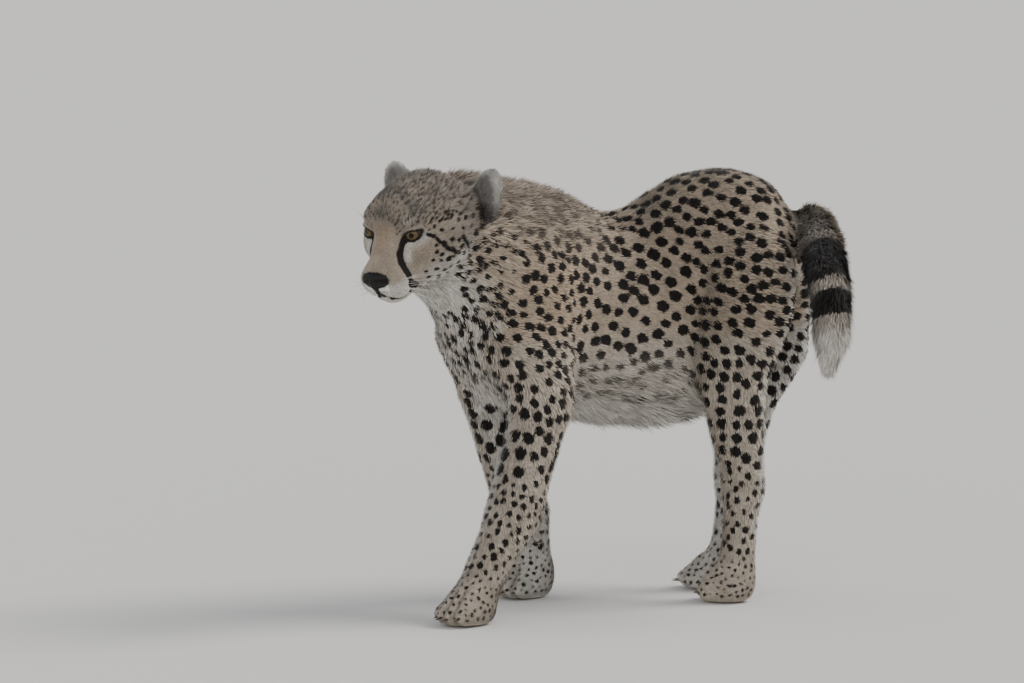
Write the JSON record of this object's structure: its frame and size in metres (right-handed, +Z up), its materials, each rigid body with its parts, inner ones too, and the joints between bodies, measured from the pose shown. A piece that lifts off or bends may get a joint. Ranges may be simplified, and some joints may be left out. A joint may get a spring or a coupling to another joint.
{
  "type": "cheetah",
  "caption": "Life-size model of a young spotted cheetah halted in mid-step, head low and turned a little to its left, body curved to the left, with a short fuzzy mane and a ringed tail that swings out and hangs.",
  "frame": {"origin": "the floor under the middle of the animal's bounding box", "axes": "+Z up, -Y the way the chest faces, +X the chest's left"},
  "size_m": [0.5116, 0.7622, 0.6514],
  "materials": {
    "coat": "matte",
    "ear_coat": "matte",
    "eye": "glossy",
    "nose": "satin",
    "claw": "satin"
  },
  "bodies": {
    "root": {"rump": "coat", "belly": "coat", "chest": "coat", "nose": "nose", "eye_left": "eye", "eye_right": "eye", "head": "coat", "ear_left": "ear_coat", "ear_right": "ear_coat", "neck": "coat", "claw_fore_left_1": "claw", "claw_fore_left_2": "claw", "claw_fore_left_3": "claw", "claw_fore_left_4": "claw", "dewclaw_fore_left": "claw", "leg_fore_left": "coat", "claw_fore_right_1": "claw", "claw_fore_right_2": "claw", "claw_fore_right_3": "claw", "claw_fore_right_4": "claw", "dewclaw_fore_right": "claw", "leg_fore_right": "coat", "claw_hind_left_1": "claw", "claw_hind_left_2": "claw", "claw_hind_left_3": "claw", "claw_hind_left_4": "claw", "leg_hind_left": "coat", "claw_hind_right_1": "claw", "claw_hind_right_2": "claw", "claw_hind_right_3": "claw", "claw_hind_right_4": "claw", "leg_hind_right": "coat", "tail_root": "coat", "tail_middle": "coat", "tail_tip": "coat"}
  },
  "joints": []
}
